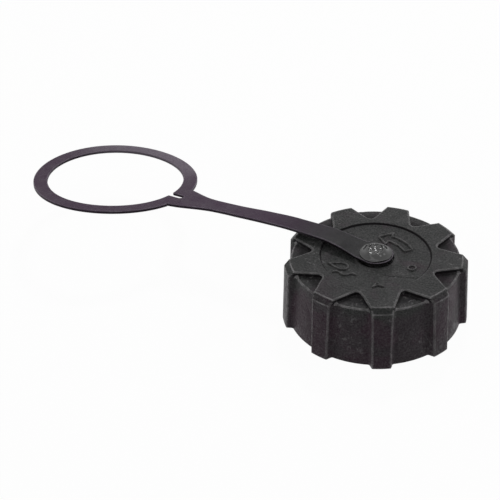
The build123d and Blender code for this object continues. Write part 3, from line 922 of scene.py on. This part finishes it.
def inside(points, loops):
    """Whether each point has an odd count of loop edges to its right."""
    odd = np.zeros(len(points), bool)
    x, y = points[:, :1], points[:, 1:]
    for loop in loops:
        (x0, y0), (x1, y1) = loop.T, np.roll(loop, -1, axis=0).T
        spans = (y0 > y) != (y1 > y)
        crossing = x0 + (y - y0) * (x1 - x0) / np.where(y1 == y0, 1, y1 - y0)
        odd ^= (spans & (x < crossing)).sum(axis=1) % 2 == 1
    return odd


def tether_mesh():
    """A flat outline filled with triangles and carried onto the tether's surface, twice, with a bevelled wall
    between."""
    loops = tether_loops()
    inner_loops = [loop + TETHER_EDGE * left_normals(loop) for loop in loops]
    inner, outer = np.concatenate(inner_loops), np.concatenate(loops)
    along, across = np.arange(*FILL_ALONG, FILL_PITCH), np.arange(*FILL_ACROSS, FILL_PITCH * 0.87)
    columns, rows = np.meshgrid(along, across, indexing="ij")
    columns = columns + 0.5 * FILL_PITCH * (np.arange(len(across)) % 2)[None, :]
    grid = np.stack([columns.ravel(), rows.ravel()], axis=1)
    clear = np.array([np.hypot(*(inner - point).T).min() for point in grid]) > 0.6 * FILL_PITCH
    flat = np.concatenate([inner, grid[clear & inside(grid, inner_loops)]])
    following, first = [], 0
    for loop in loops:
        count = len(loop)
        following += [first + (k + 1) % count for k in range(count)]
        first += count
    edges = list(enumerate(following))
    hull = 0  # the kind of filling that makes triangles out to the convex hull
    corners = [Vector(point) for point in flat]
    made, _, triangles, origins, _, _ = delaunay_2d_cdt(corners, edges, [], hull, 1e-6)
    made = np.array([list(point) for point in made])
    centres = made[np.array(triangles)].mean(axis=1)
    triangles = [list(face) for face, kept in zip(triangles, inside(centres, inner_loops)) if kept]
    loop_vertex = {old: new for new, olds in enumerate(origins) for old in olds if old < len(inner)}
    count, wall = len(made), len(inner)
    u, v = np.concatenate([made, made, outer, outer]).T
    levels = [0, -TETHER_THICKNESS, -TETHER_EDGE, TETHER_EDGE - TETHER_THICKNESS]
    w = np.repeat(np.array(levels, float), [count, count, wall, wall])
    faces = triangles + [[count + i for i in reversed(face)] for face in triangles]
    high, low = 2 * count, 2 * count + wall
    for here, there in edges:
        top_here, top_there = loop_vertex[here], loop_vertex[there]
        faces.append([top_there, top_here, high + here, high + there])
        faces.append([high + there, high + here, low + here, low + there])
        faces.append([low + there, low + here, count + top_here, count + top_there])
    return tether_place(u, v, w), faces


class OBJECT_OT_fuel_cap_tether(bpy.types.Operator):
    """Satin purple grey plastic on the tether, pale on its edges partly from rubbing and partly as a painted
    highlight, and darkened on its narrow sides as painted shade
    """

    bl_idname = "object.fuel_cap_tether"
    bl_label = "Tether plastic"

    def execute(self, context):
        tether = settings("fuel_cap_tether")
        scuffs = {"patch_scale": 60.0, "stroke_scale": 500.0, "coverage": 0.42, "strength": 0.08}
        wear_and_highlight_inputs = {"width": 0.0006, "breakup_scale": 150.0, "breakup": 0.5}

        def colour(tree):
            along, away = coordinate(tree, "X"), coordinate(tree, "Y")
            upwards = coordinate(tree, "Z", "Normal")
            near_cap = remapped(tree, along, -0.05, -0.012)
            plain = mixed(tree, near_cap, tether.colour, tether.near_colour)
            # Painted shade: faces far from level, the narrow sides, are darkened towards the side colour.
            side = remapped(tree, maths(tree, "ABSOLUTE", upwards), 0.3, 0.6, 1.0, 0.0)
            shaded = mixed(tree, product(tree, side, 0.75), plain, tether.side_colour)
            # Paler towards the ring's far side.
            on_ring = remapped(tree, along, -0.09, -0.1, 0.0, 0.37)
            paler_far_side = product(tree, remapped(tree, away, 0.004, 0.032), on_ring)
            # Painted highlight as well as wear: only the edges that face up are painted pale, where light from
            # above catches them.
            wear_and_highlight = use_group(tree, "edge wear", edge_wear_and_highlight_group, **wear_and_highlight_inputs)
            wear_and_highlight = product(tree, wear_and_highlight, remapped(tree, upwards, 0.2, 0.6, 0.0, 0.6))
            scuffed = use_group(tree, "scuffs", scuffs_group, **scuffs)
            return mixed(tree, greatest(tree, scuffed, paler_far_side, wear_and_highlight), shaded, tether.worn_and_highlight_colour)

        roughness, height = uneven(180.0, 0.36, 0.48), grain(1800.0, 120.0, 1.5)
        plastic = new_material("Tether plastic", colour, roughness, 0.12, height, 0.00012)
        moulding = tether_mesh()
        add_piece("tether_moulding", moulding, plastic, "tether", replaces=["tether_strap"])
        return {"FINISHED"}


# Parts under the cap's ceiling

TALC, WORN_BAFFLE, DARK_CELL = (0.05, 0.05, 0.048), (0.3, 0.3, 0.3), (0.015, 0.015, 0.014)
GROOVE_DEPTH, GROOVE_FLOOR, GROOVE_MOUTH = 0.16, 0.8, 1.3  # the seal's groove, and its half widths
STEM_RADIUS, BEAD_RADIUS = 1.28, 1.86  # the valve's stem


def rubber(name):
    """Matt rubber with a bloom of talc in its grain."""
    soft = settings("fuel_cap_soft")

    def colour(tree):
        bloom = remapped(tree, noise(tree, 260.0, detail=4.0), 0.45, 0.75, 0.0, 0.35)
        return mixed(tree, bloom, soft.rubber_colour, TALC)

    return new_material(name, colour, 0.72, 0.3, grain(3000.0, 300.0, 0.8), 0.00005)


def cells(tree):
    """Distance from the middles of open cells."""
    inputs = {"Vector": coordinates(tree), "Scale": 1100.0}
    return add_node(tree, "ShaderNodeTexVoronoi", inputs).outputs[0]


def spans(node):
    """Least and greatest (radius, height) of a turned node."""
    points = cad_points(node)
    radius, height = from_axis(points), points[:, 2]
    return (radius.min(), height.min()), (radius.max(), height.max())


class OBJECT_OT_fuel_cap_inner(bpy.types.Operator):
    """Seal, filter and valve as soft pieces, and the baffle's plastic"""

    bl_idname = "object.fuel_cap_inner"
    bl_label = "Inner parts"

    def execute(self, context):
        soft = settings("fuel_cap_soft")
        self.add_seal()
        self.add_filter(soft)
        self.add_valve()
        wear_and_highlight_inputs = {"width": 0.0004, "breakup_scale": 300.0, "breakup": 0.5}

        def colour(tree):
            wear_and_highlight = product(tree, use_group(tree, "edge wear", edge_wear_and_highlight_group, **wear_and_highlight_inputs), 0.3)
            return mixed(tree, wear_and_highlight, soft.baffle_colour, WORN_BAFFLE)

        plastic = new_material("Baffle plastic", colour, 0.45, 0.4, grain(2400.0, 200.0, 0.8), 0.00005)
        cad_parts["vent_baffle"].material_slots[0].material = plastic
        return {"FINISHED"}

    def add_seal(self):
        """Seal ring: a rounded section with a shallow groove where the neck has pressed into it."""
        (inner, bottom), (outer, top) = spans("seal_gasket")
        seat, groove = (inner + outer) / 2, bottom + GROOVE_DEPTH
        corners = [(inner, bottom), (inner, top), (outer, top), (outer, bottom)]
        corners += [(seat + GROOVE_MOUTH, bottom), (seat + GROOVE_FLOOR, groove)]
        corners += [(seat - GROOVE_FLOOR, groove), (seat - GROOVE_MOUTH, bottom)]

        def wobble(angle, radius, height):
            swell = 0.03 * np.sin(7 * angle) + 0.02 * np.sin(17 * angle + 1.0)
            return np.where(height < bottom + 0.5, swell, 0) * 0.6

        ring, soft = revolved(rounded_outline(corners[::-1], 0.4), 180, wobble), rubber("Seal rubber")
        add_piece("seal_ring", ring, soft, "cap", replaces=["seal_gasket"])

    def add_filter(self, soft):
        """Filter disc: a rounded section whose faces are pitted by sums of sines, like open cells."""
        (_, bottom), (outer, top) = spans("vent_filter")
        out = np.linspace(0.05, outer, 40)
        rows = [(radius, bottom) for radius in out] + [(radius, top) for radius in out[::-1]]

        def wobble(angle, radius, height):
            x, y = radius * np.cos(angle), radius * np.sin(angle)
            pits = np.sin(5.3 * x + 2 * np.sin(3.1 * y)) * np.sin(4.7 * y + 2 * np.sin(3.7 * x))
            inwards = np.where(height < (bottom + top) / 2, 1, -1)
            return inwards * 0.1 * (1 + pits)

        def colour(tree):
            return mixed(tree, remapped(tree, cells(tree), 0.1, 0.6), soft.foam_colour, DARK_CELL)

        foam = new_material("Filter foam", colour, 0.9, 0.2, cells, 0.0003)
        disc = revolved(rows, 160, wobble)
        add_piece("filter_disc", disc, foam, "cap", sharp_angle=70, replaces=["vent_filter"])

    def add_valve(self):
        """Umbrella valve: the plain valve's section with soft corners."""
        (_, foot), (disc, crown) = spans("vent_valve")
        seat, centre = foot + 0.9, 0.02
        stem, bead = STEM_RADIUS, BEAD_RADIUS
        corners = [(centre, foot), (1.2, foot), (disc - 0.3, seat - 0.5), (disc, seat - 0.3)]
        corners += [(disc, seat - 0.02), (disc - 0.35, seat - 0.02), (stem * 2, seat - 0.25), (stem, seat - 0.25)]
        corners += [(stem, crown - 0.62), (bead, crown - 0.6), (stem, crown), (centre, crown)]
        umbrella, soft = revolved(rounded_outline(corners, 0.18), 96), rubber("Valve rubber")
        add_piece("valve_umbrella", umbrella, soft, "cap", replaces=["vent_valve"])


# Add-on


OPERATORS = (
    OBJECT_OT_fuel_cap_stage,
    OBJECT_OT_fuel_cap_body,
    OBJECT_OT_fuel_cap_marks,
    OBJECT_OT_fuel_cap_thread,
    OBJECT_OT_fuel_cap_stud,
    OBJECT_OT_fuel_cap_tether,
    OBJECT_OT_fuel_cap_inner,
)
SETTINGS = {
    "fuel_cap_stage": StageSettings,
    "fuel_cap_cap": CapSettings,
    "fuel_cap_stud": StudSettings,
    "fuel_cap_tether": TetherSettings,
    "fuel_cap_soft": SoftSettings,
}


class VIEW3D_PT_fuel_cap(bpy.types.Panel):
    """Lists the steps and their settings"""

    bl_label = "Vented fuel cap"
    bl_space_type = "VIEW_3D"
    bl_region_type = "UI"
    bl_category = "Fuel cap"

    def draw(self, context):
        for operator in OPERATORS:
            self.layout.operator(operator.bl_idname)
        for name, group in SETTINGS.items():
            box = self.layout.box()
            for key in group.__annotations__:
                box.prop(getattr(context.scene, name), key)


CLASSES = (*SETTINGS.values(), *OPERATORS, VIEW3D_PT_fuel_cap)


def register():
    for made in CLASSES:
        bpy.utils.register_class(made)
    for name, group in SETTINGS.items():
        setattr(bpy.types.Scene, name, PointerProperty(type=group))


def unregister():
    for name in SETTINGS:
        delattr(bpy.types.Scene, name)
    for made in reversed(CLASSES):
        bpy.utils.unregister_class(made)


def main():
    register()
    bpy.ops.object.fuel_cap_stage()
    bpy.ops.object.fuel_cap_body()
    bpy.ops.object.fuel_cap_marks()
    bpy.ops.object.fuel_cap_thread()
    bpy.ops.object.fuel_cap_stud()
    bpy.ops.object.fuel_cap_tether()
    bpy.ops.object.fuel_cap_inner()


if __name__ == "__main__":
    main()
